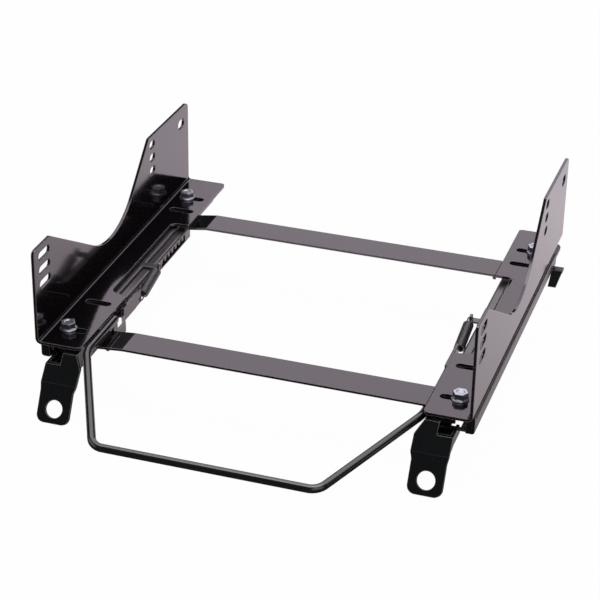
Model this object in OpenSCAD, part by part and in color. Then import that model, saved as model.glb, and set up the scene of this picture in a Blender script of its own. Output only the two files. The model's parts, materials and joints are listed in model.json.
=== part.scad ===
// Seat slide rail: two ball slides with side brackets, a towel-bar handle, latches and feet
// X runs across the car, Y runs front (minus) to rear (plus), Z is up
// Pieces that come in pairs are drawn for the right-hand side and mirrored for the left,
// apart from the ends of the handle, the levers, the pivots and the slopes of the bars

/* [Brackets] */
// Width over the outer faces of the two side plates
plate_span = 434; // [416:2:456]
// Front-to-rear length of a side bracket
bracket_len = 402; // [390:2:420]
// Thickness of the bracket sheet
plate_t = 3; // [2.5:0.1:3.5]
// Height of the plate ears above the flange
ear_h = 96; // [92:1:110]
// Width of the flange at its two pads
pad_w = 47; // [45:1:50]
// Width of the flange at its waist
waist_w = 28; // [26:1:32]
// Radius of the dip between the two ears
dip_r = 86; // [78:1:94]
// Height of the lowest point of the dip above the flange
dip_h = 27; // [22:1:34]
// Inside radius of the fold
fold_r = 3; // [2:0.5:5]

/* [Seat slots] */
// Width of the slots for the seat bolts
seat_slot_w = 9; // [8.5:0.1:10]
// Length of the front seat slots
front_slot_len = 25; // [18:1:28]
// Length of the rear seat slots
rear_slot_len = 15; // [12:1:18]
// Distance between the front and rear seat slots
seat_pitch = 274; // [268:1:280]
// Height of the upper row of slots above the flange
row_top = 85; // [80:1:86]
// Distance between the rows of slots
row_pitch = 15; // [13:0.5:16]
// Length of the cross slots in the flange
cross_slot_len = 27; // [24:1:29]

/* [Slides] */
// Outside width of a fixed lower rail
rail_w = 43; // [42:0.5:44]
// Sheet thickness of the lower rail
lower_t = 2; // [1.8:0.1:2.1]
// Sheet thickness of the upper rail
upper_t = 2.2; // [2:0.1:2.3]
// Diameter of the balls
ball_d = 4.2; // [4:0.1:4.4]
// Diameter of the rollers
roller_d = 3.9; // [3.6:0.1:4.2]
// Rearward travel of the seat
travel = 160; // [140:10:170]
// Pitch of the latch notches
notch_pitch = 10; // [10:1:10]

/* [Cross bars] */
// Width of a cross bar
bar_w = 34; // [30:1:36]
// Thickness of a cross bar
bar_t = 2.4; // [2.2:0.1:2.6]

/* [Handle] */
// Diameter of the handle rod
rod_d = 8; // [7:0.5:8]
// Width of the handle between its front corners
handle_w = 215; // [200:1:230]
// Reach of the handle in front of the brackets
handle_reach = 117; // [105:1:130]
// Drop of the handle's front below its right-hand end
handle_drop = 17; // [10:1:22]
// Height of the left-hand end, which lies over the front bar, above the right-hand one
left_rise = 16; // [15:0.5:18]
// Bend radius of the front corners
handle_r = 15; // [12:1:20]

/* [Feet] */
// Height of the flange above the lowest point of the feet
flange_h = 65; // [60:1:72]
// Width of a front foot's tab
tab_w = 33.5; // [32:0.5:36]
// Diameter of the bolt hole in a front foot
tab_hole_d = 17.5; // [16:0.5:19]
// Lean of the tab from the vertical
tab_lean = 28; // [24:1:32]
// Lean of the upper part of a front foot from the vertical
neck_lean = 41; // [38:1:44]
// Sheet thickness of the feet
foot_t = 3; // [2.5:0.1:3.2]
// Reach of a rear foot behind the brackets
rear_reach = 25; // [20:1:30]
// Width of the bolt slot in a rear foot
rear_slot_w = 11; // [10.5:0.1:12]

/* [Hidden] */

// Half sizes and the shift that puts the middle of the part on the origin
hw = plate_span / 2;
hl = bracket_len / 2;
handle_out = hl + handle_reach + rod_d / 2;
rear_out = hl + rear_reach;
y_shift = (handle_out - rear_out) / 2;
e = 0.01;

// Heights, from the flange downwards
z_fl = flange_h;
z_fb = z_fl - plate_t;
z_bar = z_fb - bar_t;
z_web = z_bar - upper_t;
lip_gap = 0.4;
z_lip = z_web - lip_gap;
ball_gap = 0.05;
z_shelf = z_lip - lower_t - ball_d - 2 * ball_gap;
z_shelf_b = z_shelf - upper_t;
z_floor = z_shelf_b - roller_d - 2 * ball_gap;
z_rail = z_floor - lower_t;

// Places across the car
rail_x = hw - rail_w / 2;
rail_in = hw - rail_w;
pad_x = hw - pad_w;
waist_x = hw - waist_w;
bolt_x = rail_x + 1.5;
slot_x = hw - 26;
rod_x = rail_in - 2 - rod_d / 2;
leg_u = 12;
lip_u = leg_u + 0.8;
wall_u = rail_w / 2 - lower_t;
shelf_u = wall_u - 0.5;
ball_u = (lip_u + lower_t + wall_u) / 2;

// Places along the car
rail_y0 = -hl + 14;
rail_y1 = hl - 28;
front_bolt_y = -hl + 33;
rear_bolt_y = hl - 49;
front_slot_y = -hl + 92.5;
rear_slot_y = hl - 81.5;
fbar_y = -hl + 13;
rbar_y = hl - 114;
step_f = -hl + 114;
step_r = rbar_y;
waist_r = 6;
seat_y = -hl + 22.5;

// Fasteners
bolt_d = 8;
hole_d = 9;
bolt_flange_d = 17;
hex_af = 13;
bolt_edge = 13;
nut_h = 6.5;

// Handle and latch
ear_t = bar_t;
pivot_d = 4;
pivot_y = fbar_y + bar_w - 6;
rod_z = z_bar - 0.5 - rod_d / 2;
rod_y0 = -hl + 11;
rod_y1 = pivot_y + 10;
handle_y = -hl - handle_reach;
handle_z = rod_z - handle_drop;
rod_fn = 24;
lever_t = 3;
lever_rear_x = rail_in - 8.4;
lever_h = 10;
foot_h = 8;
jog_y = pivot_y + 37;
lever_end = pivot_y + 101.5;
lever_top = z_fl - 5;
tooth_y = pivot_y + 63.5;
tooth_w = 5;
tooth_h = 2.8;
tooth_n = 3;
tooth_top = z_shelf - 1.3;
window_top = tooth_top + 0.6;
window_h = 4.7;
notch_gap = 0.6;
notch_top = window_top + 4.2;
hook_y = lever_end - 2.6;
hook_z = rod_z - 6.5;
hook_slot_len = 4;
hook_slot_w = 2.6;
wire_d = 1.6;
coil_d = 11;
coil_x = lever_rear_x + lever_t / 2;
spring_len = 56;
tab_y = hook_y + spring_len;
tab_z = z_bar + 1.5;
tab_half = 4;

// Left-hand end of the handle rod and its lever, which hangs below the rod
left_x = rod_x - 10.5;
left_y0 = rod_y0 - 23.6;
left_z = rod_z + left_rise;
left_y1 = pivot_y + 15;
hub_y0 = fbar_y + bar_w + 2.5;
hub_len = 9.5;
left_lever_x = left_x - lever_t / 2;

// Rear end of the inner wall of the lower rail, behind the last notch
wall_end = tooth_y + travel + (tooth_n - 1) * notch_pitch + tooth_w / 2 + 15;
keep_u = 5;

// Rivets that hold the feet to the lower rails
rivet_d = 6.4;
rivet_hole_d = 6.5;
rivet_head_d = 10;
rivet_head_h = 1.5;
front_rivet_in = 52;
rear_rivet_in = 22;
front_rivet = [rail_x - 6, rail_y0 + front_rivet_in];
rear_rivet = [rail_x + 5, rail_y1 - rear_rivet_in];

// Feet
tab_x = hw - 32.5;
neck_top = z_fl - 6.5;
neck_y = -hl - 2.5;
tab_end_z = foot_t * sin(tab_lean);
tab_len = 38.5;
fold_z = tab_end_z + tab_len * cos(tab_lean);
fold_y = neck_y - (neck_top - fold_z) * tan(neck_lean);
tab_end_y = fold_y - tab_len * sin(tab_lean);
tab_hole_at = 24.3;
tab_r = 8;

// Helpers

// Draws a right-hand piece, or its mirror image for the left
module hand(s) {
    translate([0, y_shift, 0])
        if (s < 0) mirror([1, 0, 0]) children();
        else children();
}

// Slot shape lying along the first axis
module slot2d(len, w) {
    square([len - w, w], center = true);
    translate([-(len - w) / 2, 0]) circle(d = w, $fn = 24);
    translate([(len - w) / 2, 0]) circle(d = w, $fn = 24);
}

// Corner to take off at the origin, the sheet lying towards plus and plus
module corner2d(r) {
    difference() {
        translate([-1, -1]) square([r + 1, r + 1]);
        translate([r, r]) circle(r = r, $fn = 32);
        translate([r, -2]) square([r + 2, r * 2 + 4]);
        translate([-2, r]) square([r * 2 + 4, r + 2]);
    }
}

// Extrudes a shape drawn across the car and upright along the car
module along_y(y0, y1) {
    translate([0, y1, 0]) rotate([90, 0, 0]) linear_extrude(y1 - y0) children();
}

// Extrudes a shape drawn along the car and upright across the car
module across_x(x0, x1) {
    translate([x0, 0, 0]) rotate([90, 0, 90]) linear_extrude(x1 - x0) children();
}

// Extrudes a plan shape upright
module upright(z0, z1) {
    translate([0, 0, z0]) linear_extrude(z1 - z0) children();
}

// Round bar between two points
module bar_between(p, q, d, fn) {
    v = q - p;
    n = norm(v);
    translate(p) rotate([0, acos(v[2] / n), atan2(v[1], v[0])]) cylinder(d = d, h = n, $fn = fn);
}

// Side bracket

// Dip between the ears: centre and the angles of the two slopes
dip_y = seat_y + seat_pitch - 115.5;
dip_z = z_fl + dip_h + dip_r;
slope_f = 29.8;
slope_r = 43.2;
dip_fy = dip_y - dip_r * sin(slope_f);
dip_fz = dip_z - dip_r * cos(slope_f);
dip_ry = dip_y + dip_r * sin(slope_r);
dip_rz = dip_z - dip_r * cos(slope_r);
ear_z = z_fl + ear_h;
ear_fy = dip_fy - (ear_z - dip_fz) / tan(slope_f);
ear_ry = dip_ry + (ear_z - 1 - dip_rz) / tan(slope_r);

// What is cut away above the plate: the dip, its slopes and the sloping rear edge
module ear_cut() {
    polygon([[ear_fy, ear_z + 5], [ear_fy, ear_z], [dip_fy, dip_fz], [dip_ry, dip_rz], [ear_ry, ear_z - 1],
        [hl + 2, ear_z - 2.5], [hl + 2, ear_z + 5]]);
    translate([dip_y, dip_z]) circle(r = dip_r, $fn = 96);
    translate([-hl, ear_z]) rotate(-90) corner2d(5);
    translate([hl, ear_z - 2.5]) rotate(180) corner2d(7);
}

module seat_slots() {
    for (k = [0 : 2]) {
        translate([seat_y, z_fl + row_top - k * row_pitch]) slot2d(front_slot_len, seat_slot_w);
        translate([seat_y + seat_pitch, z_fl + row_top - k * row_pitch]) slot2d(rear_slot_len, seat_slot_w);
    }
    translate([hl - 21, z_fl + row_top - 10]) slot2d(18, seat_slot_w + 2);
}

// What is cut out of the flange: the waist between the pads, their corners and the cross slots
module flange_cut() {
    translate([pad_x - 2, step_f + 12]) square([waist_x - pad_x + 2, step_r - waist_r - step_f - 12]);
    translate([waist_x - waist_r, step_r - waist_r]) circle(r = waist_r, $fn = 48);
    translate([pad_x - 2, step_r - waist_r - 1]) square([waist_x - waist_r - pad_x + 2, waist_r + 1]);
    translate([waist_x - 8, step_f + 12]) circle(r = 8, $fn = 32);
    polygon([[pad_x - 2, step_f], [pad_x, step_f], [waist_x - 8, step_f + 4], [waist_x - 8, step_f + 13],
        [pad_x - 2, step_f + 13]]);
    translate([pad_x, -hl]) corner2d(6);
    translate([pad_x, hl]) rotate(-90) corner2d(4);
    for (y = [front_bolt_y, front_slot_y, rear_slot_y, rear_bolt_y])
        translate([slot_x, y]) slot2d(cross_slot_len, hole_d);
}

// Folded section of the bracket, seen along the car
module fold_section() {
    difference() {
        translate([pad_x, z_fb]) square([pad_w, ear_z - z_fb]);
        difference() {
            translate([pad_x - 5, z_fl]) square([pad_w + 5 - plate_t, ear_h + 5]);
            translate([hw - plate_t, z_fl]) rotate(90) corner2d(fold_r);
        }
        translate([hw, z_fb]) rotate(90) corner2d(fold_r + plate_t);
    }
}

module bracket() {
    difference() {
        along_y(-hl, hl) fold_section();
        across_x(hw - plate_t - 1, hw + 1) ear_cut();
        across_x(hw - plate_t - 1, hw + 1) seat_slots();
        upright(z_fb - 1, z_fl + 1) flange_cut();
    }
}

module bracket_left() color([0.10, 0.10, 0.11]) hand(-1) bracket();
module bracket_right() color([0.10, 0.10, 0.11]) hand(1) bracket();

// Cross bars: flush with the flange between the brackets, stepped down under the pads

joggle_x = pad_x - 0.3;
flush_x = pad_x - 0.5;
end_x = rail_x + leg_u;
// The left-hand steps are long slopes
front_left_x = pad_x - 38;
rear_left_x = pad_x - 20;
// How far the ends of the rear bar stand back under the front edge of the pads
end_back = 9;

module bar_strip(y0, left) {
    along_y(y0, y0 + bar_w) polygon([[-end_x, z_fb], [-joggle_x, z_fb], [-left, z_fl], [flush_x, z_fl],
        [joggle_x, z_fb], [end_x, z_fb], [end_x, z_bar], [joggle_x - bar_t, z_bar],
        [flush_x - bar_t, z_fl - bar_t], [-left, z_fl - bar_t], [-joggle_x, z_bar], [-end_x, z_bar]]);
}

module bolt_holes(y) {
    for (s = [-1, 1]) translate([s * bolt_x, y, z_bar - 1]) cylinder(d = hole_d, h = bar_t + 2, $fn = 32);
}

ear_x = rod_x - rod_d / 2 - 0.6 - ear_t;
ear_r = 5.5;

module crossbar_front() color([0.11, 0.11, 0.12]) translate([0, y_shift, 0])
    difference() {
        union() {
            bar_strip(fbar_y, front_left_x);
            pivot_ear(z_fl - bar_t + 0.4);
            mirror([1, 0, 0]) pivot_ear(z_bar + 1.9);
        }
        bolt_holes(front_bolt_y);
    }

// Ear under the front bar that carries a pivot pin
module pivot_ear(top) {
    difference() {
        across_x(ear_x, ear_x + ear_t) union() {
            translate([pivot_y - ear_r, rod_z]) square([2 * ear_r, top - rod_z]);
            translate([pivot_y, rod_z]) circle(r = ear_r, $fn = 32);
        }
        translate([ear_x - 1, pivot_y, rod_z]) rotate([0, 90, 0])
            cylinder(d = pivot_d + 0.02, h = ear_t + 2, $fn = 24);
    }
}

module crossbar_rear() color([0.11, 0.11, 0.12]) translate([0, y_shift, 0]) {
    y1 = rbar_y + bar_w;
    difference() {
        union() {
            bar_strip(rbar_y, rear_left_x);
            for (s = [0, 1]) mirror([s, 0, 0]) upright(z_bar, z_fb)
                translate([pad_x + 1, y1 - 2]) square([end_x - pad_x - 1, rear_bolt_y + bolt_edge - y1 + 2]);
        }
        bolt_holes(rear_bolt_y);
        for (s = [0, 1]) mirror([s, 0, 0]) translate([pad_x + 0.5, rbar_y - 1, z_bar - 1])
            cube([end_x - pad_x, end_back + 1, bar_t + 2]);
    }
}

// Flange bolts and the nuts welded under the upper rails

module flange_bolt() {
    difference() {
        union() {
            cylinder(d = bolt_flange_d, h = 1.4, $fn = 32);
            translate([0, 0, 1.4 - e]) cylinder(d1 = bolt_flange_d - 1, d2 = hex_af + 1.6, h = 1, $fn = 32);
            cylinder(d = hex_af / cos(30), h = 8, $fn = 6);
            translate([0, 0, z_bar - upper_t - nut_h - 1.5 - z_fl])
                cylinder(d = bolt_d, h = z_fl - z_bar + upper_t + nut_h + 1.5 + e, $fn = 24);
        }
        translate([0, 0, 7.4]) cylinder(d1 = 7, d2 = 9, h = 1, $fn = 24);
    }
}

module bolts() color([0.75, 0.77, 0.80]) translate([0, y_shift, 0])
    for (s = [-1, 1]) for (y = [front_bolt_y, rear_bolt_y])
        translate([s * bolt_x, y, z_fl]) flange_bolt();

module weld_nuts() color([0.60, 0.61, 0.63]) translate([0, y_shift, 0])
    for (s = [-1, 1]) for (y = [front_bolt_y, rear_bolt_y])
        translate([s * bolt_x, y, z_web - nut_h]) difference() {
            rotate(30) cylinder(d = hex_af / cos(30), h = nut_h, $fn = 6);
            translate([0, 0, -1]) cylinder(d = bolt_d + 0.1, h = nut_h + 2, $fn = 24);
        }

// Upper rail: an inverted hat that runs inside the lower rail

module upper_section() {
    for (s = [0, 1]) mirror([s, 0]) difference() {
        polygon([[-e, z_bar], [leg_u, z_bar], [leg_u, z_shelf], [shelf_u, z_shelf], [shelf_u, z_shelf_b],
            [leg_u - upper_t, z_shelf_b], [leg_u - upper_t, z_web], [-e, z_web]]);
        translate([leg_u, z_bar]) rotate(180) corner2d(2);
    }
}

module upper_rail() {
    difference() {
        union() {
            translate([rail_x, 0, 0]) along_y(rail_y0 + 1, rail_y1 - 1) upper_section();
            // Wall that closes the inner half of the front end
            translate([rail_x - leg_u + 1, rail_y0 + 1, z_shelf_b])
                cube([leg_u + 1, upper_t, z_bar - 1 - z_shelf_b]);
            // Lug that holds the rear end of the spring, turned up at the end of a tab
            translate([coil_x - upper_t / 2, tab_y - tab_half, z_web])
                cube([rail_x - leg_u + 3 - coil_x + upper_t / 2, 2 * tab_half, upper_t]);
            across_x(coil_x - upper_t / 2, coil_x + upper_t / 2) union() {
                translate([tab_y - tab_half, z_web]) square([2 * tab_half, tab_z - z_web]);
                translate([tab_y, tab_z]) circle(r = tab_half, $fn = 32);
            }
        }
        for (y = [front_bolt_y, rear_bolt_y])
            translate([bolt_x, y, z_web - 1]) cylinder(d = hole_d, h = upper_t + 2, $fn = 32);
        translate([coil_x - upper_t, tab_y, tab_z]) rotate([0, 90, 0])
            cylinder(d = wire_d + 0.16, h = 2 * upper_t, $fn = 24);
        // The inner shelf ends with the inner wall of the lower rail
        translate([rail_x - wall_u, wall_end, z_shelf_b - 1])
            cube([wall_u - leg_u, rail_y1 - wall_end, 2 * upper_t]);
        // The shelves stop short of the front end
        translate([rail_x - wall_u, rail_y0, z_shelf_b - 1]) cube([wall_u - leg_u, 34, 2 * upper_t]);
        translate([rail_x + leg_u, rail_y0, z_shelf_b - 1]) cube([wall_u - leg_u, 34, 2 * upper_t]);
    }
}

module upper_rail_left() color([0.13, 0.13, 0.14]) hand(-1) upper_rail();
module upper_rail_right() color([0.13, 0.13, 0.14]) hand(1) upper_rail();

// Lower rail: a channel with turned-in lips and a row of latch notches on its inner side

module lower_section() {
    for (s = [0, 1]) mirror([s, 0]) difference() {
        polygon([[-e, z_rail], [rail_w / 2, z_rail], [rail_w / 2, z_lip], [lip_u, z_lip],
            [lip_u, z_lip - lower_t - 2.6], [lip_u + lower_t, z_lip - lower_t - 2.6],
            [lip_u + lower_t, z_lip - lower_t], [wall_u, z_lip - lower_t], [wall_u, z_floor], [-e, z_floor]]);
        translate([rail_w / 2, z_rail]) rotate(90) corner2d(3);
        translate([rail_w / 2, z_lip]) rotate(180) corner2d(3);
    }
}

// The right-hand rail has an opening in its floor near the front end
module lower_rail(open) {
    steps = travel / notch_pitch + tooth_n - 1;
    difference() {
        translate([rail_x, 0, 0]) along_y(rail_y0, rail_y1) lower_section();
        // Window that the latch teeth reach through, with its notches
        translate([rail_in - 1, tooth_y - tooth_w / 2 - 1, window_top - window_h])
            cube([lower_t + 1.5, travel + (tooth_n - 1) * notch_pitch + tooth_w + 2, window_h]);
        for (k = [0 : steps])
            translate([rail_in - 1, tooth_y + k * notch_pitch - tooth_w / 2 - notch_gap, window_top - 0.5])
                cube([lower_t + 1.5, tooth_w + 2 * notch_gap, notch_top - window_top + 0.5]);
        // The inner wall and its lip end behind the last notch
        translate([rail_in - 1, wall_end, z_rail - 1])
            cube([rail_w / 2 - keep_u + 1, rail_y1 - wall_end + 1, 30]);
        if (open) translate([rail_x - 2.5, rail_y0 + 4, z_rail - 1]) cube([9.5, 32, lower_t + 2]);
        for (p = [front_rivet, rear_rivet])
            translate([p[0], p[1], z_rail - 1]) cylinder(d = rivet_hole_d, h = lower_t + 2, $fn = 24);
    }
}

module lower_rail_left() color([0.12, 0.12, 0.13]) hand(-1) lower_rail(false);
module lower_rail_right() color([0.12, 0.12, 0.13]) hand(1) lower_rail(true);

// Balls and rollers between the rails

// The first ball stays between the rails at full travel; the inner row is short, like the inner wall
ball_y0 = rail_y0 + 34 + travel / 2 + 7;
ball_step_out = 75;
ball_step_in = 37;
roller_len = 36;
roller_z = z_floor + roller_d / 2 + ball_gap;

module balls() {
    for (k = [0 : 2]) {
        translate([rail_x + ball_u, ball_y0 + k * ball_step_out, z_shelf + ball_d / 2 + ball_gap])
            sphere(d = ball_d, $fn = 16);
        translate([rail_x - ball_u, ball_y0 + k * ball_step_in, z_shelf + ball_d / 2 + ball_gap])
            sphere(d = ball_d, $fn = 16);
    }
}

module rollers() {
    for (k = [0, 2])
        translate([rail_x - roller_len / 2, ball_y0 + k * ball_step_in - 3, roller_z])
            rotate([0, 90, 0]) cylinder(d = roller_d, h = roller_len, $fn = 20);
}

module balls_left() color([0.70, 0.71, 0.73]) hand(-1) balls();
module balls_right() color([0.70, 0.71, 0.73]) hand(1) balls();
module rollers_left() color([0.66, 0.67, 0.69]) hand(-1) rollers();
module rollers_right() color([0.66, 0.67, 0.69]) hand(1) rollers();

// Front foot: a folded box under the front of the lower rail with a leaning bolt tab

module foot_sheet() {
    mid = (neck_lean + tab_lean) / 2;
    cut = foot_t / cos((neck_lean - tab_lean) / 2);
    polygon([[neck_y, neck_top], [fold_y, fold_z], [tab_end_y, tab_end_z],
        [tab_end_y + foot_t * cos(tab_lean), 0], [fold_y + cut * cos(mid), fold_z - cut * sin(mid)],
        [neck_y + foot_t / cos(neck_lean), neck_top]]);
}

module foot_front() {
    x0 = tab_x - tab_w / 2;
    x1 = tab_x + tab_w / 2;
    wall_x = rail_in - 1.2;
    sole_y = fold_y + 16;
    sole_gap = 40;
    difference() {
        across_x(x0 - 2, x1 + 1) foot_sheet();
        // The top edge slopes down beside the handle rod and is low at the outer side
        along_y(neck_y - 30, neck_y + 10) polygon([[x0 - 4, neck_top - 11], [x0 - 2, neck_top - 11],
            [wall_x, neck_top - 0.5], [wall_x, neck_top + 5], [x0 - 4, neck_top + 5]]);
        translate([tab_x + 2.5, neck_y - 30, z_shelf_b + 0.8]) cube([tab_w, 40, 30]);
        // Narrower tab with sloping shoulders, rounded corners and the bolt hole
        translate([0, tab_end_y, tab_end_z]) rotate([-90 - tab_lean, 0, 0]) translate([0, 0, -1])
            linear_extrude(foot_t + 2) {
                polygon([[x0 - 4, 2], [x0, 2], [x0, 7 - tab_len], [x0 - 2.1, -tab_len], [x0 - 4, -tab_len]]);
                polygon([[x1 + 3, 2], [x1, 2], [x1, 7 - tab_len], [x1 + 1.1, -tab_len], [x1 + 3, -tab_len]]);
                translate([x0, 0]) rotate(-90) corner2d(tab_r);
                translate([x1, 0]) rotate(180) corner2d(tab_r);
                translate([tab_x, tab_hole_at - tab_len]) circle(d = tab_hole_d, $fn = 40);
            }
    }
    // Side walls back to the rail and the sole under it
    y_in = neck_y - (neck_top - z_shelf_b - 0.8) * tan(neck_lean);
    across_x(wall_x, wall_x + foot_t) polygon([[neck_y + 2, neck_top], [fold_y + 3, fold_z + 1],
        [sole_y, z_rail - foot_t], [rail_y0 + 40, z_rail - foot_t], [rail_y0 + 40, z_rail],
        [rail_y0 - 0.2, z_rail], [rail_y0 - 0.2, neck_top]]);
    across_x(x1 + 1 - foot_t, x1 + 1) polygon([[y_in + 2, z_shelf_b + 0.8], [fold_y + 3, fold_z + 1],
        [sole_y, z_rail - foot_t], [rail_y0 - 0.2, z_rail - foot_t],
        [rail_y0 - 0.2, z_shelf_b + 0.8]]);
    difference() {
        upright(z_rail - foot_t, z_rail) translate([wall_x, sole_y])
            square([x1 + 1 - wall_x, front_rivet[1] + 10 - sole_y]);
        // Clear below the opening in the rail floor
        translate([rail_x - 4.5, rail_y0 + 3, z_rail - foot_t - 1]) cube([tab_w, sole_gap, foot_t + 2]);
        translate([front_rivet[0], front_rivet[1], z_rail - foot_t - 1])
            cylinder(d = rivet_hole_d, h = foot_t + 2, $fn = 24);
    }
}

module foot_front_left() color([0.07, 0.08, 0.08]) hand(-1) foot_front();
module foot_front_right() color([0.07, 0.08, 0.08]) hand(1) foot_front();

// Rear foot: a flat plate under the rear of the lower rail,
// with a bolt slot and a lug that hangs at the outer side

foot_x0 = rail_x - keep_u + 0.5;
foot_x1 = hw - 4;
rear_slot_x = (foot_x0 + foot_x1) / 2;
rear_slot_l = 14;
lug_y = rail_y1 - 7;
lug_lean = 20;
lug_len = 18.5;

module foot_rear() {
    y0 = rear_rivet[1] - 30;
    upright(z_rail - foot_t, z_rail) difference() {
        union() {
            translate([foot_x0, y0]) square([foot_x1 - foot_x0, rear_out - y0]);
            translate([foot_x0 + 8, lug_y - 3]) square([hw + 9.5 - foot_x0 - 8, 9]);
        }
        translate([foot_x0, rear_out]) rotate(-90) corner2d(8);
        translate([foot_x1, rear_out]) rotate(180) corner2d(8);
        translate([rear_slot_x, rear_out - 17]) slot2d(rear_slot_l, rear_slot_w);
        translate(rear_rivet) circle(d = rivet_hole_d, $fn = 24);
    }
    translate([0, lug_y, z_rail - 1.5]) rotate([90 - lug_lean, 0, 0]) linear_extrude(foot_t)
        polygon([[hw - 2, 0], [hw + 9.5, 0], [hw + 4.5, -lug_len], [hw - 4, -lug_len]]);
}

module foot_rear_left() color([0.07, 0.08, 0.08]) hand(-1) foot_rear();
module foot_rear_right() color([0.07, 0.08, 0.08]) hand(1) foot_rear();

// Handle: one bent rod; its right-hand end turns on a pivot pin, its left-hand end lies over the front bar

// The bends are a hair thicker than the straights, which reach a little way into them
bend_d = rod_d + 0.04;
bite = 0.5;
knee_r = 30;

// Tilt of a leg, its slant in its own plane, and the length its front bend takes from the bar
function leg_tilt(y, z) = atan2(z - handle_z, y - handle_y);
function leg_slant(x, y, z) = atan2(x - handle_w / 2, (y - handle_y) / cos(leg_tilt(y, z)));
function bend_in(x, y, z) = handle_r * tan((90 - leg_slant(x, y, z)) / 2);

// One leg with its two bends, up to the rod end that lies along the rail
module handle_side(x, y, z, y_end) {
    tilt = leg_tilt(y, z);
    slant = leg_slant(x, y, z);
    front = [handle_w / 2, handle_y, handle_z];
    way = [sin(slant), cos(slant) * cos(tilt), cos(slant) * sin(tilt)];
    len = norm([x, y, z] - front);
    inset = bend_in(x, y, z);
    knee_turn = acos(way[1]);
    knee_roll = atan2(way[2], way[0]);
    knee_in = knee_r * tan(knee_turn / 2);
    translate([0, handle_y, handle_z]) rotate([tilt, 0, 0])
        translate([handle_w / 2 - inset, handle_r, 0]) rotate([0, 0, -90])
            rotate_extrude(angle = 90 - slant, $fn = 48)
                translate([handle_r, 0]) circle(d = bend_d, $fn = rod_fn);
    bar_between(front + way * (inset - bite), front + way * (len - knee_in + bite), rod_d, rod_fn);
    translate([x, y, z]) rotate([0, -knee_roll, 0]) translate([-knee_r, knee_in, 0])
        rotate([0, 0, -knee_turn]) rotate_extrude(angle = knee_turn, $fn = 96)
            translate([knee_r, 0]) circle(d = bend_d, $fn = rod_fn);
    translate([x, y_end, z]) rotate([90, 0, 0])
        cylinder(d = rod_d, h = y_end - y - knee_in + bite, $fn = rod_fn);
}

module handle() color([0.09, 0.09, 0.10]) translate([0, y_shift, 0]) {
    x0 = bend_in(left_x, left_y0, left_z) - handle_w / 2 - bite;
    x1 = handle_w / 2 - bend_in(rod_x, rod_y0, rod_z) + bite;
    translate([x0, handle_y, handle_z]) rotate([0, 90, 0]) cylinder(d = rod_d, h = x1 - x0, $fn = rod_fn);
    mirror([1, 0, 0]) handle_side(left_x, left_y0, left_z, left_y1);
    difference() {
        handle_side(rod_x, rod_y0, rod_z, rod_y1);
        translate([rod_x - rod_d, pivot_y, rod_z]) rotate([0, 90, 0])
            cylinder(d = pivot_d + 0.1, h = 2 * rod_d, $fn = 24);
    }
}

// Latch levers: bent strips welded to the rod ends, with teeth and a slot for the spring

module lever_strip(plan) {
    z1 = rod_z + 1 - lever_h;
    y_jog = jog_y + 19.5;
    face_x = lever_rear_x + lever_t;
    difference() {
        union() {
            upright(z1, z1 + lever_h) polygon(plan);
            // Taller rear part
            translate([lever_rear_x, y_jog, z1]) cube([lever_t, lever_end - y_jog, lever_top - z1]);
            for (k = [0 : tooth_n - 1])
                translate([face_x - 1, tooth_y + k * notch_pitch - tooth_w / 2, tooth_top - tooth_h])
                    cube([rail_in + lower_t - 0.2 - face_x + 1, tooth_w, tooth_h]);
            // Deeper middle that carries the teeth
            translate([lever_rear_x, tooth_y - 5, tooth_top - tooth_h - 1])
                cube([lever_t, (tooth_n - 1) * notch_pitch + 10, rod_z - tooth_top + tooth_h + 1]);
        }
        across_x(lever_rear_x - 1, lever_rear_x + lever_t + 1)
            translate([hook_y - 0.6, hook_z]) slot2d(hook_slot_len, hook_slot_w);
    }
}

module lever_right() color([0.12, 0.12, 0.13]) hand(1) {
    lever_strip([[lever_rear_x, rod_y1], [lever_rear_x + lever_t, rod_y1],
        [lever_rear_x + lever_t, lever_end], [lever_rear_x, lever_end]]);
    // Front part, welded under the rod
    translate([lever_rear_x, rod_y1 - 24, rod_z - rod_d / 2 - foot_h])
        cube([lever_t, 24 + foot_h, foot_h]);
}

// The left-hand lever carries the pivot hole, because the rod above it lies over the bar
module lever_left() color([0.12, 0.12, 0.13]) hand(-1) {
    x1 = left_lever_x + lever_t;
    difference() {
        union() {
            lever_strip([[left_lever_x, pivot_y - ear_r], [x1, pivot_y - ear_r], [x1, jog_y],
                [lever_rear_x + lever_t, jog_y + 18.5], [lever_rear_x + lever_t, lever_end],
                [lever_rear_x, lever_end], [lever_rear_x, jog_y + 19.5], [left_lever_x, jog_y + 1]]);
            translate([left_lever_x, hub_y0, rod_z]) cube([lever_t, hub_len, left_z - rod_d / 2 - rod_z]);
        }
        translate([left_lever_x - 1, pivot_y, rod_z]) rotate([0, 90, 0])
            cylinder(d = pivot_d + 0.1, h = lever_t + 2, $fn = 24);
    }
}

// Pivot pins: headed rivets fixed in the ears of the front bar

module pivot_right() color([0.62, 0.63, 0.65]) hand(1)
    translate([ear_x - 1.6, pivot_y, rod_z]) rotate([0, 90, 0]) {
        cylinder(d = pivot_d + 3, h = 1.6, $fn = 24);
        cylinder(d = pivot_d, h = 1.6 + ear_t + 0.6 + rod_d, $fn = 24);
    }

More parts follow.
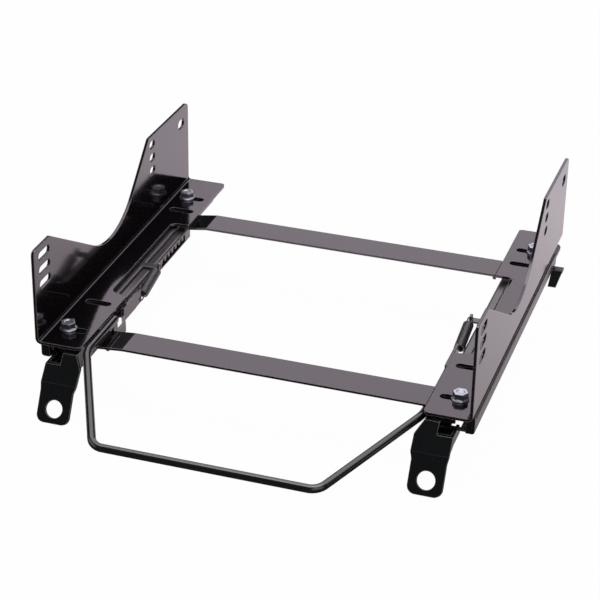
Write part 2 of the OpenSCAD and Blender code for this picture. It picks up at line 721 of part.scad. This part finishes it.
module pivot_left() color([0.62, 0.63, 0.65]) hand(-1) {
    collar = left_lever_x + lever_t + 0.3;
    translate([left_lever_x - 1.9, pivot_y, rod_z]) rotate([0, 90, 0]) {
        cylinder(d = pivot_d + 3, h = 1.6, $fn = 24);
        cylinder(d = pivot_d, h = ear_x + ear_t + 1.4 - left_lever_x + 1.9, $fn = 24);
    }
    translate([collar, pivot_y, rod_z]) rotate([0, 90, 0])
        cylinder(d = pivot_d + 3, h = ear_x - collar, $fn = 24);
    translate([ear_x + ear_t, pivot_y, rod_z]) rotate([0, 90, 0])
        cylinder(d = pivot_d + 2, h = 1.4, $fn = 24);
}

// Extension spring between the lever end and the lug: close-wound body with two hooks on the inner side

module spring() {
    slope = atan2(tab_z - hook_z, spring_len);
    way = [0, cos(slope), sin(slope)];
    low = [coil_x, hook_y, hook_z];
    high = [coil_x, tab_y, tab_z];
    len = norm(high - low);
    turns = 22;
    step = (len - 20) / turns;
    translate(low + 10 * way) rotate([0, 90 - slope, 90]) rotate_extrude($fn = 20)
        polygon(concat([[0, 0]], [for (k = [0 : turns - 1]) for (j = [0 : 1])
            [coil_d / 2 - (j == 0 ? 0.7 : 0), (k + j / 2) * step]],
            [[coil_d / 2 - 0.7, len - 20], [0, len - 20]]));
    side_low = [-lever_t / 2 - 1.4, 0, 0];
    side_high = [-upper_t / 2 - 1.5, 0, 0];
    hook(low + side_low, low + side_low + 5.8 * way, low + 10.5 * way, lever_t + 2.6);
    hook(high + side_high, high + side_high - 6 * way, high - 10.5 * way, upper_t + 2.7);
}

// Hook of bent wire: across through its hole, along the side, then in to the coil
module hook(a, b, c, across) {
    translate(a) rotate([0, 90, 0]) cylinder(d = wire_d, h = across, $fn = 16);
    translate(a) sphere(d = wire_d + 0.3, $fn = 16);
    bar_between(a, b, wire_d, 16);
    translate(b) sphere(d = wire_d + 0.3, $fn = 16);
    bar_between(b, c, wire_d, 16);
}

module spring_left() color([0.68, 0.69, 0.71]) hand(-1) spring();
module spring_right() color([0.68, 0.69, 0.71]) hand(1) spring();

// Rivets that hold the feet to the lower rails

module rivets() color([0.08, 0.08, 0.08]) for (s = [-1, 1]) hand(s) for (p = [front_rivet, rear_rivet])
    translate([p[0], p[1], z_rail - foot_t - rivet_head_h]) {
        cylinder(d = rivet_head_d, h = rivet_head_h, $fn = 24);
        cylinder(d = rivet_d, h = foot_t + lower_t + 2 * rivet_head_h, $fn = 24);
        translate([0, 0, foot_t + lower_t + rivet_head_h])
            cylinder(d = rivet_head_d, h = rivet_head_h, $fn = 24);
    }

// Plastic caps in the front ends of the outer ball tracks

module end_caps() color([0.05, 0.05, 0.05]) for (s = [-1, 1]) hand(s) {
    difference() {
        translate([rail_x + lip_u, rail_y0 - 2, z_rail]) cube([rail_w / 2 - lip_u, 2, z_fb - 1 - z_rail]);
        along_y(rail_y0 - 3, rail_y0 + 1) union() {
            translate([hw, z_rail]) rotate(90) corner2d(3);
            translate([hw, z_fb - 1]) rotate(180) corner2d(3);
        }
    }
    translate([rail_x + lip_u + lower_t + 0.25, rail_y0 - 1, z_floor + 0.25])
        cube([wall_u - lip_u - lower_t - 0.5, 9, z_lip - lower_t - z_floor - 0.5]);
}

bracket_left();
bracket_right();
crossbar_front();
crossbar_rear();
bolts();
weld_nuts();
upper_rail_left();
upper_rail_right();
lower_rail_left();
lower_rail_right();
balls_left();
balls_right();
rollers_left();
rollers_right();
foot_front_left();
foot_front_right();
foot_rear_left();
foot_rear_right();
handle();
lever_left();
lever_right();
pivot_left();
pivot_right();
spring_left();
spring_right();
rivets();
end_caps();
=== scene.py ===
# %% [markdown]
# # Dressing a seat slide rail
# The CAD model gives every shape and size. This lesson gives the parts their
# paint, plating and steel, winds the two latch springs as real coils, and sets up
# a pale studio and a camera at the photograph's viewing angle.

# %% Load the frame
import json
import math
import bpy
from mathutils import Matrix, Vector


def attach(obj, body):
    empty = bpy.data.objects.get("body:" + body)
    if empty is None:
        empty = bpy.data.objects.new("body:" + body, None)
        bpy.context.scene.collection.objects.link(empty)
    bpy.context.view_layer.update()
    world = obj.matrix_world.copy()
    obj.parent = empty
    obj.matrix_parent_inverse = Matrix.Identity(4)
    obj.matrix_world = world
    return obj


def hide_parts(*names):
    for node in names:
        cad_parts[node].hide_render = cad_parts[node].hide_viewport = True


MM = 0.001
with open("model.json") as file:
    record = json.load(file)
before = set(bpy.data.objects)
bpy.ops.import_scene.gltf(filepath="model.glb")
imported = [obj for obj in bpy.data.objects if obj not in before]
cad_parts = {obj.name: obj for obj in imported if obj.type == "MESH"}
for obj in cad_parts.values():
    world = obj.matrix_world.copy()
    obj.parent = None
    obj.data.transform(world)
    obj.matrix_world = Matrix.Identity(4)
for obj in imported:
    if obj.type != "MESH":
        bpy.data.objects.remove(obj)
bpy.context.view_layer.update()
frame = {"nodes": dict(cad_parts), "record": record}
nodes = frame["nodes"]

# %% [markdown]
# ## Shader maths with plain operators
# A small class wraps a node socket, so that patterns can be written as sums and
# products. It can also rise from 0 to 1 over a range, mix two colours, and add any
# other node.

# %% Socket class
MIX_FACTOR, MIX_A, MIX_B, MIX_RESULT = 0, 6, 7, 2  # the colour sockets of the Mix node


class Sock:
    """A node socket that can be added, subtracted, multiplied and divided."""

    def __init__(self, tree, socket):
        self.tree = tree
        self.socket = socket

    def to(self, target):
        self.tree.links.new(self.socket, target)

    def _math(self, op, a, b):
        made = self.tree.nodes.new("ShaderNodeMath")
        made.operation = op
        plug(a, made.inputs[0])
        plug(b, made.inputs[1])
        return Sock(self.tree, made.outputs[0])

    def __add__(self, other):
        return self._math("ADD", self, other)

    def __radd__(self, other):
        return self._math("ADD", other, self)

    def __sub__(self, other):
        return self._math("SUBTRACT", self, other)

    def __rsub__(self, other):
        return self._math("SUBTRACT", other, self)

    def __mul__(self, other):
        return self._math("MULTIPLY", self, other)

    def __rmul__(self, other):
        return self._math("MULTIPLY", other, self)

    def __truediv__(self, other):
        return self._math("DIVIDE", self, other)

    def __rtruediv__(self, other):
        return self._math("DIVIDE", other, self)

    def clamp(self, low, high):
        return self._math("MINIMUM", self._math("MAXIMUM", self, low), high)

    def ramp(self, start, end):
        """Rises from 0 at start to 1 at end; end may be the smaller of the two."""
        return ((self - start) / (end - start)).clamp(0.0, 1.0)

    def dot(self, other):
        made = self.tree.nodes.new("ShaderNodeVectorMath")
        made.operation = "DOT_PRODUCT"
        self.to(made.inputs[0])
        other.to(made.inputs[1])
        return Sock(self.tree, made.outputs["Value"])

    def mix(self, low, high):
        """A colour that goes from low to high as this socket goes from 0 to 1."""
        made = self.tree.nodes.new("ShaderNodeMix")
        made.data_type = "RGBA"
        self.to(made.inputs[MIX_FACTOR])
        for colour, place in ((low, MIX_A), (high, MIX_B)):
            plug(colour if isinstance(colour, Sock) else (*colour, 1), made.inputs[place])
        return Sock(self.tree, made.outputs[MIX_RESULT])

    def node(self, kind, output=0, settings=None, **inputs):
        """Adds any node; its inputs are given by name, with _ for a space."""
        made = self.tree.nodes.new(kind)
        for key, value in (settings or {}).items():
            setattr(made, key, value)
        for key, value in inputs.items():
            plug(value, made.inputs[key.replace("_", " ")])
        return Sock(self.tree, made.outputs[output])


def plug(value, target):
    """Links a socket to the target, or sets a plain value on it."""
    if isinstance(value, Sock):
        value.to(target)
    else:
        target.default_value = value


print("socket class ready:", Sock.__doc__)

# %% [markdown]
# ## Starting a material
# Every material starts with a Principled shader and the Object coordinates, so that
# patterns have a real size and move with the part.

# %% Helpers for materials
EDGE_SAMPLES = 6
NOISE_MIDDLE = 0.5


def new_material(name):
    """A fresh material, its shader and its Object coordinates."""
    mat = bpy.data.materials.new(name)
    mat.use_nodes = True
    tree = mat.node_tree
    coords = tree.nodes.new("ShaderNodeTexCoord")
    return mat, tree.nodes["Principled BSDF"], Sock(tree, coords.outputs["Object"])


def noise(pos, scale, detail):
    return pos.node("ShaderNodeTexNoise", Vector=pos, Scale=scale, Detail=detail)


def rounded(pos, radius):
    """The surface normal with every edge rounded to the radius."""
    return pos.node("ShaderNodeBevel", settings={"samples": EDGE_SAMPLES}, Radius=radius)


def scaled(colour, by):
    return tuple(part * by for part in colour)


print("material helpers ready, samples for a rounded edge:", EDGE_SAMPLES)

# %% [markdown]
# ## Paint
# All the sheet metal is near-black gloss paint. Nearly everything that is seen of
# it is reflection, so the paint has a very dark base, a high index of refraction and a
# low roughness that varies a little, with the faint ripple of sprayed paint. The normal
# rounds off every sheet edge, and a painted highlight is laid along the edges: where the
# rounded normal leaves the face's own normal, the colour goes towards a light tone.
# The rails have thinner paint on rolled steel, so they are more satin than the brackets.

# %% Paint shader
EDGE_ROUND = 0.9 * MM
# Tone and steepness of the painted edge highlight, laid into the base colour.
EDGE_HIGHLIGHT_TONE = (0.28, 0.27, 0.275)
EDGE_HIGHLIGHT_GAIN = 25.0
WIDE_SCALE, WIDE_DETAIL, WIDE_ROUGH = 14.0, 2.0, 0.06
FINE_SCALE, FINE_DETAIL, FINE_ROUGH = 420.0, 1.0, 0.03
PAINT_ROUGH_RANGE = (0.03, 0.8)
RIPPLE_DEPTH = 0.4 * MM
TONE_DARK, TONE_LIGHT = 0.85, 1.15


def paint(name, base, rough, ripple, ior, tint):
    mat, shader, pos = new_material(name)
    wide = noise(pos, WIDE_SCALE, WIDE_DETAIL)
    fine = noise(pos, FINE_SCALE, FINE_DETAIL)
    gloss = rough + (wide - NOISE_MIDDLE) * WIDE_ROUGH + (fine - NOISE_MIDDLE) * FINE_ROUGH
    gloss.clamp(*PAINT_ROUGH_RANGE).to(shader.inputs["Roughness"])
    edge = rounded(pos, EDGE_ROUND)
    bump = pos.node("ShaderNodeBump", Height=fine, Strength=ripple, Distance=RIPPLE_DEPTH, Normal=edge)
    bump.to(shader.inputs["Normal"])
    tone = wide.mix(scaled(base, TONE_DARK), scaled(base, TONE_LIGHT))
    flat = pos.node("ShaderNodeNewGeometry", output="Normal")
    # Painted highlight: the base colour turns light along every edge, where the rounded normal leaves
    # the face's own normal.
    painted_edge_highlight = ((1.0 - edge.dot(flat)) * EDGE_HIGHLIGHT_GAIN).clamp(0.0, 1.0)
    painted_edge_highlight.mix(tone, EDGE_HIGHLIGHT_TONE).to(shader.inputs["Base Color"])
    shader.inputs["IOR"].default_value = ior
    shader.inputs["Specular Tint"].default_value = (*tint, 1)
    return mat


print("paint shader ready, edge radius in mm:", round(EDGE_ROUND / MM, 2))

# %% Four paints
sheet_paint = paint("sheet_paint", base=(0.0052, 0.0045, 0.0050), rough=0.10, ripple=0.05,
                    ior=2.1, tint=(1, 0.91, 1))
foot_paint = paint("foot_paint", base=(0.0110, 0.0130, 0.0128), rough=0.2, ripple=0.08,
                   ior=1.5, tint=(0.9, 1, 0.96))
rod_paint = paint("rod_paint", base=(0.0035, 0.0035, 0.0036), rough=0.18, ripple=0.04,
                  ior=2.3, tint=(1, 1, 1))
rail_paint = paint("rail_paint", base=(0.018, 0.0172, 0.0175), rough=0.34, ripple=0.08,
                   ior=2.7, tint=(1, 0.96, 0.98))
print("paints:", [mat.name for mat in (sheet_paint, foot_paint, rod_paint, rail_paint)])

# %% [markdown]
# ## Plating and steel
# The flange bolts and nuts are bright zinc, a little cloudy, and their edges catch the
# light. The balls, rollers and pins are polished steel; the springs' wire is darkened as painted
# shade.

# %% Metals
CLOUD_SCALE, CLOUD_DETAIL = 180.0, 3.0
GRAIN_SCALE, GRAIN_DETAIL = 900.0, 2.0
GRAIN_STRENGTH, GRAIN_DEPTH = 0.05, 0.2 * MM
METAL_ROUGH_RANGE = (0.05, 0.9)
METAL_DARK = 0.8


def metal(name, base, rough, cloud, edge_round):
    mat, shader, pos = new_material(name)
    wide = noise(pos, CLOUD_SCALE, CLOUD_DETAIL)
    fine = noise(pos, GRAIN_SCALE, GRAIN_DETAIL)
    gloss = rough + (wide - NOISE_MIDDLE) * cloud
    gloss.clamp(*METAL_ROUGH_RANGE).to(shader.inputs["Roughness"])
    bump = pos.node("ShaderNodeBump", Height=fine, Strength=GRAIN_STRENGTH, Distance=GRAIN_DEPTH,
                    Normal=rounded(pos, edge_round))
    bump.to(shader.inputs["Normal"])
    wide.mix(scaled(base, METAL_DARK), base).to(shader.inputs["Base Color"])
    shader.inputs["Metallic"].default_value = 1.0
    return mat


zinc = metal("bright_zinc", base=(0.76, 0.8, 0.86), rough=0.31, cloud=0.2, edge_round=1.2 * MM)
bearing = metal("bearing_steel", base=(0.62, 0.63, 0.65), rough=0.16, cloud=0.1, edge_round=0.0)
# Painted shade: the springs' wire is made dark to stand in for the shade that the springs sit in.
wire = metal("shade_darkened_wire", base=(0.25, 0.247, 0.25), rough=0.36, cloud=0.2, edge_round=0.0)
print("metals:", [mat.name for mat in (zinc, bearing, wire)])

# %% [markdown]
# ## Dressing the CAD nodes
# The record gives each node a material slot. The rails share the brackets' slot, and are
# told apart by their names.

# %% Materials on the nodes
SLOT_MATERIAL = {"paint": sheet_paint, "foot_paint": foot_paint, "rod_paint": rod_paint,
                 "zinc": zinc, "bearing_steel": bearing, "spring_steel": wire}
for part in frame["record"]["subparts"]:
    obj = nodes[part["node"]]
    obj.data.materials.clear()
    finish = rail_paint if "_rail_" in part["node"] else SLOT_MATERIAL[part["material_slot"]]
    obj.data.materials.append(finish)

# %% [markdown]
# ## Latch springs
# In the CAD model the body of a spring is a ribbed solid. The real one is a single wire:
# a hook, a close-wound coil and a second hook. One point of a circle is swept into
# a spiral by the Screw modifier, both ends are drawn out into hooks point by point, and
# the line then becomes a round wire. It is made upright at the origin and then tipped
# into place between the lever and the lug. The other spring is its mirror image.

# %% A spiral line
WIRE_D, COIL_D = 1.6 * MM, 11.0 * MM
TURNS, STEPS_A_TURN, CIRCLE_POINTS = 22, 24, 12
HOOK_RUN, HOOK_RISE, HOOK_LEN = 56.0 * MM, 12.5 * MM, 10.0 * MM
wire_len = math.hypot(HOOK_RUN, HOOK_RISE)
coil_r = (COIL_D - WIRE_D) / 2
coil_len = wire_len - 2 * HOOK_LEN
start_x = -coil_r
ALMOST = 0.999


def pick(obj, wanted):
    """Goes into edit mode with only the wanted points selected."""
    bpy.ops.object.mode_set(mode="EDIT")
    bpy.ops.mesh.select_mode(type="VERT")
    bpy.ops.mesh.select_all(action="DESELECT")
    bpy.ops.object.mode_set(mode="OBJECT")
    for vert in obj.data.vertices:
        vert.select = wanted(vert)
    bpy.ops.object.mode_set(mode="EDIT")


bpy.ops.object.select_all(action="DESELECT")
bpy.ops.mesh.primitive_circle_add(vertices=CIRCLE_POINTS, radius=coil_r, location=(0, 0, 0))
coil = bpy.context.object
coil.name = "latch_spring_right"
pick(coil, lambda vert: vert.co.x > start_x * ALMOST)
bpy.ops.mesh.delete(type="VERT")
bpy.ops.object.mode_set(mode="OBJECT")
spiral = coil.modifiers.new("spiral", "SCREW")
spiral.screw_offset = coil_len / TURNS
spiral.iterations = TURNS
spiral.steps = STEPS_A_TURN
spiral.render_steps = STEPS_A_TURN
bpy.ops.object.modifier_apply(modifier=spiral.name)
coil.location.z = HOOK_LEN
bpy.ops.object.transform_apply(location=True, rotation=False, scale=False)
print("spiral points:", len(coil.data.vertices))

# %% [markdown]
# The hooks leave the coil in a gentle bend, run along the side, and cross over through
# the hole of the lever or the lug.

# %% Hooks at both ends
LOW_SIDE, LOW_TIP, HIGH_SIDE, HIGH_TIP = -2.9 * MM, 2.7 * MM, -2.6 * MM, 2.3 * MM
LEAVE_IN, LEAVE_AT = 0.96, HOOK_LEN - 0.6 * MM
BEND_IN, BEND_AT = 0.86, HOOK_LEN - 1.4 * MM
SIDE_AT = 6.6 * MM
CORNER = 1.2 * MM
CORNER_MIDDLE = CORNER * 0.3


def draw_out(start_z, points):
    """Pulls the wire's end nearest start_z through the points, one after the other."""
    end = min(coil.data.vertices, key=lambda v: (v.co - Vector((start_x, 0, start_z))).length)
    here = end.co.copy()
    last = end.index
    pick(coil, lambda vert: vert.index == last)
    for point in points:
        step = Vector(point) - here
        bpy.ops.mesh.extrude_region_move(TRANSFORM_OT_translate={"value": step})
        here = Vector(point)
    bpy.ops.object.mode_set(mode="OBJECT")


def hook(side, tip, at, way):
    """Points of a hook: in from the coil, along the side, then across through its hole."""
    return [(start_x * LEAVE_IN, 0, at + way * LEAVE_AT),
            (start_x * BEND_IN, 0, at + way * BEND_AT),
            (side, 0, at + way * SIDE_AT),
            (side, 0, at + way * CORNER),
            (side + CORNER_MIDDLE, 0, at + way * CORNER_MIDDLE),
            (side + CORNER, 0, at),
            (tip, 0, at)]


draw_out(HOOK_LEN, hook(LOW_SIDE, LOW_TIP, 0.0, 1))
draw_out(HOOK_LEN + coil_len, hook(HIGH_SIDE, HIGH_TIP, wire_len, -1))
print("spring wire points:", len(coil.data.vertices))

# %% [markdown]
# The line becomes a round wire, is tipped to the slope between lever and lug, and is
# copied to the other side.

# %% Round wire, put in place, and its mirror image
WIRE_ROUNDNESS = 2
SMOOTH_DEG = 50
bpy.ops.object.convert(target="CURVE")
coil = bpy.context.object
coil.data.bevel_depth = WIRE_D / 2
coil.data.bevel_resolution = WIRE_ROUNDNESS
coil.data.use_fill_caps = True
bpy.ops.object.convert(target="MESH")
coil = bpy.context.object
swings = {j["name"]: j for j in frame["record"]["behaviour"]["joints"]}
lug = Vector(swings["coil_right_swing"]["pos_m"])
slope = math.atan2(HOOK_RISE, HOOK_RUN)
coil.rotation_euler = (slope - math.pi / 2, 0, 0)
coil.location = lug - Vector((0, HOOK_RUN, HOOK_RISE))
bpy.ops.object.transform_apply(location=True, rotation=True, scale=True)
bpy.ops.object.shade_smooth_by_angle(angle=math.radians(SMOOTH_DEG))
bpy.ops.object.duplicate()
mirror_coil = bpy.context.object
mirror_coil.name = "latch_spring_left"
mirror_coil.scale.x = -1
bpy.ops.object.transform_apply(location=True, rotation=True, scale=True)
print("springs:", coil.name, mirror_coil.name)

# %% [markdown]
# Each wound spring takes the place of its CAD node and rides on the same body. Mirroring
# turns faces inside out, so the normals are made consistent first.

# %% Hand the springs over
for piece, side in ((coil, "right"), (mirror_coil, "left")):
    bpy.ops.object.select_all(action="DESELECT")
    piece.select_set(True)
    bpy.context.view_layer.objects.active = piece
    bpy.ops.object.mode_set(mode="EDIT")
    bpy.ops.mesh.select_all(action="SELECT")
    bpy.ops.mesh.normals_make_consistent(inside=False)
    bpy.ops.object.mode_set(mode="OBJECT")
    piece.data.materials.clear()
    piece.data.materials.append(wire)
    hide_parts("spring_" + side)
    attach(piece, "coil_" + side)
    print(piece.name, "faces:", len(piece.data.polygons))

# %% [markdown]
# ## The studio floor
# To the camera the floor is plain white, with a light shadow. In reflections it is faintly
# purple, less bright towards the front, and dark in front of the part, as in a room that
# is lit from behind.

# %% Floor plane
FLOOR_SIZE, FLOOR_Z = 14.0, -0.6 * MM
bpy.ops.object.select_all(action="DESELECT")
bpy.ops.mesh.primitive_plane_add(size=FLOOR_SIZE, location=(0, 0, FLOOR_Z))
floor = bpy.context.object
floor.name = "floor"
print("floor, m:", FLOOR_SIZE)

# %% Floor shader
FLOOR_COLOUR = (0.95, 0.95, 0.95, 1)
FLOOR_GLOW_SHARE = 0.98
FADE_FROM, FADE_TO = -0.05, 0.45
FADE_COLOUR, FAR_COLOUR = (0.6, 0.54, 0.56), (1, 0.91, 0.97)
NEAR_FROM, NEAR_TO, NEAR_LEAST = -0.2, -0.05, 0.05
WHITE = (1, 1, 1)
floor_mat, shader, pos = new_material("floor")
tree = pos.tree
tree.nodes.remove(shader)
camera_ray, glossy_ray, through_ray = (
    pos.node("ShaderNodeLightPath", output="Is " + kind + " Ray")
    for kind in ("Camera", "Glossy", "Transmission"))
seen = (camera_ray + glossy_ray + through_ray).clamp(0.0, 1.0)
floor_y = pos.node("ShaderNodeSeparateXYZ", output="Y", Vector=pos)
tinted = floor_y.ramp(FADE_FROM, FADE_TO).mix(FADE_COLOUR, FAR_COLOUR)
near = floor_y.ramp(NEAR_FROM, NEAR_TO).clamp(NEAR_LEAST, 1.0)
shown = near + (1.0 - near) * camera_ray
glow = pos.node("ShaderNodeEmission", Color=camera_ray.mix(tinted, WHITE), Strength=shown)
diffuse = pos.node("ShaderNodeBsdfDiffuse", Color=FLOOR_COLOUR)
part_glow = tree.nodes.new("ShaderNodeMixShader")
(seen * FLOOR_GLOW_SHARE).to(part_glow.inputs["Fac"])
diffuse.to(part_glow.inputs[1])
glow.to(part_glow.inputs[2])
tree.links.new(part_glow.outputs[0], tree.nodes["Material Output"].inputs["Surface"])
floor.data.materials.append(floor_mat)
print("floor nodes:", len(tree.nodes))

# %% [markdown]
# ## The studio sky
# The camera sees plain white. The paint sees panels of light: a white one behind, cut off
# along a slanting low edge and, below a certain height, on the right; a ceiling; a small
# lamp overhead; a faint light from the front; and softer panels at both sides and beside
# the camera, which show mostly in other views. Each pair of values is where a panel begins
# and where it has its full light, along one axis of the direction in which a ray leaves.

# %% Where the panels are
BACK_LOW, BACK_SLANT = (0.12, 0.145), 0.8
BACK_RIGHT, BACK_HIGH, BACK_DEPTH = (0.2, 0.1), (0.58, 0.64), (0.1, 0.3)
CEILING_Z, CEILING_Y = (0.8, 0.9), (-0.3, -0.1)
FRONT_Y, FRONT_LEVEL = (0.1, -0.2), 0.04
LEFT_X, LEFT_Y = (-0.65, -0.75), (0.15, 0.0)
RIGHT_X, RIGHT_Y = (0.6, 0.7), (0.25, 0.35)
BESIDE_X, BESIDE_Y = (0.12, 0.27), (-0.2, -0.4)
PANEL_LEVEL = 0.45
LAMP_Z, LAMP_LEVEL = (0.93, 0.95), 1.2
DARKEST = 0.02
SKY_TINT = (1, 0.94, 1)
print("panel level:", PANEL_LEVEL, "lamp level:", LAMP_LEVEL)

# %% Sky
scene = bpy.context.scene
world = bpy.data.worlds.new("studio")
scene.world = world
world.use_nodes = True
tree = world.node_tree
look = Sock(tree, tree.nodes.new("ShaderNodeTexCoord").outputs["Generated"])
dir_x, dir_y, dir_z = (look.node("ShaderNodeSeparateXYZ", output=axis, Vector=look) for axis in "XYZ")
above = (dir_z + dir_x * BACK_SLANT).ramp(*BACK_LOW)
inside = (dir_x.ramp(*BACK_RIGHT) + dir_z.ramp(*BACK_HIGH)).clamp(0.0, 1.0)
behind = dir_y.ramp(*BACK_DEPTH)
ceiling = dir_z.ramp(*CEILING_Z) * dir_y.ramp(*CEILING_Y)
front = dir_y.ramp(*FRONT_Y) * FRONT_LEVEL
left_side = dir_x.ramp(*LEFT_X) * dir_y.ramp(*LEFT_Y)
right_rear = dir_x.ramp(*RIGHT_X) * dir_y.ramp(*RIGHT_Y)
beside = dir_x.ramp(*BESIDE_X) * dir_y.ramp(*BESIDE_Y)
panels = (left_side + right_rear + beside) * PANEL_LEVEL
lamp = dir_z.ramp(*LAMP_Z) * LAMP_LEVEL
level = (above * inside * behind + ceiling + front + panels).clamp(DARKEST, 1.0) + lamp
sky_camera_ray = look.node("ShaderNodeLightPath", output="Is Camera Ray")
back = tree.nodes["Background"]
(level * (1.0 - sky_camera_ray) + sky_camera_ray).to(back.inputs["Strength"])
sky_camera_ray.mix(SKY_TINT, WHITE).to(back.inputs["Color"])
print("sky nodes:", len(tree.nodes))

# %% [markdown]
# ## Camera
# The camera was fitted to the edges of the brackets and bars in the photograph: its place,
# the way it looks, a slight roll, and its focal length in pixels.

# %% Camera
FOCAL_PX, IMAGE_PX, SENSOR_MM = 1969.7, 600.0, 36.0
CAMERA_PLACE = (0.5328, -1.6522, 0.9997)
YAW_DEG, PITCH_DEG, ROLL_DEG = 17.83, 28.11, 1.0
yaw, pitch, roll = (math.radians(angle) for angle in (YAW_DEG, PITCH_DEG, ROLL_DEG))
forward = Vector((-math.sin(yaw) * math.cos(pitch), math.cos(yaw) * math.cos(pitch), -math.sin(pitch)))
right = Vector((math.cos(yaw), math.sin(yaw), 0.0))
up = right.cross(forward)
right_rolled = right * math.cos(roll) + up * math.sin(roll)
up_rolled = up * math.cos(roll) - right * math.sin(roll)
turn = Matrix((right_rolled, up_rolled, -forward)).transposed()
bpy.ops.object.camera_add()
camera = bpy.context.object
camera.name = "photo_camera"
camera.matrix_world = Matrix.Translation(CAMERA_PLACE) @ turn.to_4x4()
camera.data.sensor_width = SENSOR_MM
camera.data.lens = FOCAL_PX / IMAGE_PX * SENSOR_MM
scene.camera = camera
scene.view_settings.view_transform = "Standard"
print("camera lens, mm:", round(camera.data.lens, 1))

# %% [markdown]
# ## Sizes
